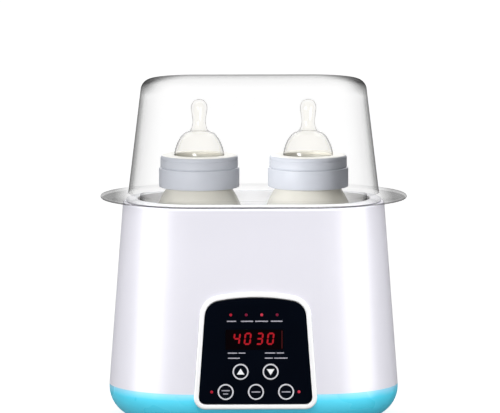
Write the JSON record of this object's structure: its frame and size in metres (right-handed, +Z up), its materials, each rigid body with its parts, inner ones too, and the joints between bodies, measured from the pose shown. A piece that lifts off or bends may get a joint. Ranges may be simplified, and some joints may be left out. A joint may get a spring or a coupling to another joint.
{
  "type": "bottle warmer",
  "caption": "Double feeding-bottle warmer: stadium-plan heated water tank on a coloured base, tilted front control panel, bottles on a rack under a clear lift-off domed lid.",
  "frame": {"origin": "on the table under the middle of the body, where the feet rest", "axes": "+Z up, -Y towards the control panel, +X to the right when the panel is seen from the front"},
  "size_m": [0.242, 0.15, 0.271],
  "materials": {
    "shell_white": "glossy",
    "base_blue": "glossy",
    "tank_plastic": "satin",
    "seal_silicone": "matte",
    "heater_steel": "brushed",
    "element_metal": "satin",
    "fastener_steel": "satin",
    "component_black": "matte",
    "fuse_ceramic": "matte",
    "lead_red": "satin",
    "board_green": "satin",
    "board_parts": "satin",
    "terminal_green": "satin",
    "cable_grey": "matte",
    "panel_frame": "glossy",
    "panel_black": "glossy",
    "display_smoke": "glossy",
    "display_body": "matte",
    "lamp_red": "glossy",
    "key_black": "glossy",
    "gland_white": "satin",
    "foot_rubber": "matte",
    "lid_clear": "glossy",
    "rack_plastic": "satin",
    "bottle_clear": "glossy",
    "milk": "satin",
    "ring_grey": "satin",
    "teat_silicone": "satin"
  },
  "bodies": {
    "warmer": {"base_shell": "base_blue", "body_shell": "shell_white", "inner_tank": "tank_plastic", "tank_gasket": "seal_silicone", "heater_seal": "seal_silicone", "heater_plate": "heater_steel", "heating_element": "element_metal", "heater_clamp": "fastener_steel", "heater_screws": "fastener_steel", "thermostat": "component_black", "thermal_fuse": "fuse_ceramic", "temperature_sensor": "heater_steel", "heater_leads": "lead_red", "power_board": "board_green", "power_board_parts": "board_parts", "terminal_block": "terminal_green", "board_screws": "fastener_steel", "control_bezel": "panel_frame", "control_panel": "panel_black", "display_window": "display_smoke", "display_module": "display_body", "indicator_leds": "lamp_red", "control_board": "board_green", "key_switches": "component_black", "panel_screws": "fastener_steel", "panel_harness": "cable_grey", "cable_gland": "gland_white", "rubber_feet": "foot_rubber", "base_screws": "fastener_steel"},
    "lid": {"lid": "lid_clear"},
    "rack": {"bottle_rack": "rack_plastic"},
    "bottle_left": {"bottle_left": "bottle_clear", "milk_left": "milk", "screw_ring_left": "ring_grey", "teat_left": "teat_silicone"},
    "bottle_right": {"bottle_right": "bottle_clear", "milk_right": "milk", "screw_ring_right": "ring_grey", "teat_right": "teat_silicone"},
    "key_up": {"key_up": "key_black"},
    "key_down": {"key_down": "key_black"},
    "key_warm": {"key_warm": "key_black"},
    "key_steam": {"key_steam": "key_black"},
    "key_timer": {"key_timer": "key_black"}
  },
  "joints": [
    {"name": "lid_lift", "type": "slide", "parent": "warmer", "child": "lid", "axis": [0, 0, 1], "range_m": [0, 0.2]},
    {"name": "rack_lift", "type": "slide", "parent": "warmer", "child": "rack", "axis": [0, 0, 1], "range_m": [0, 0.004]},
    {"name": "bottle_left_lift", "type": "slide", "parent": "rack", "child": "bottle_left", "axis": [0, 0, 1], "range_m": [0, 0.008]},
    {"name": "bottle_right_lift", "type": "slide", "parent": "rack", "child": "bottle_right", "axis": [0, 0, 1], "range_m": [0, 0.008]},
    {"name": "key_up_press", "type": "slide", "parent": "warmer", "child": "key_up", "axis": [0, 0.9972, -0.0751], "range_m": [0, 0.0006], "stiffness_N_per_m": 600, "springref_m": -0.0008},
    {"name": "key_down_press", "type": "slide", "parent": "warmer", "child": "key_down", "axis": [0, 0.9972, -0.0751], "range_m": [0, 0.0006], "stiffness_N_per_m": 600, "springref_m": -0.0008},
    {"name": "key_warm_press", "type": "slide", "parent": "warmer", "child": "key_warm", "axis": [0, 0.9972, -0.0751], "range_m": [0, 0.0006], "stiffness_N_per_m": 600, "springref_m": -0.0008},
    {"name": "key_steam_press", "type": "slide", "parent": "warmer", "child": "key_steam", "axis": [0, 0.9972, -0.0751], "range_m": [0, 0.0006], "stiffness_N_per_m": 600, "springref_m": -0.0008},
    {"name": "key_timer_press", "type": "slide", "parent": "warmer", "child": "key_timer", "axis": [0, 0.9972, -0.0751], "range_m": [0, 0.0006], "stiffness_N_per_m": 600, "springref_m": -0.0008}
  ]
}
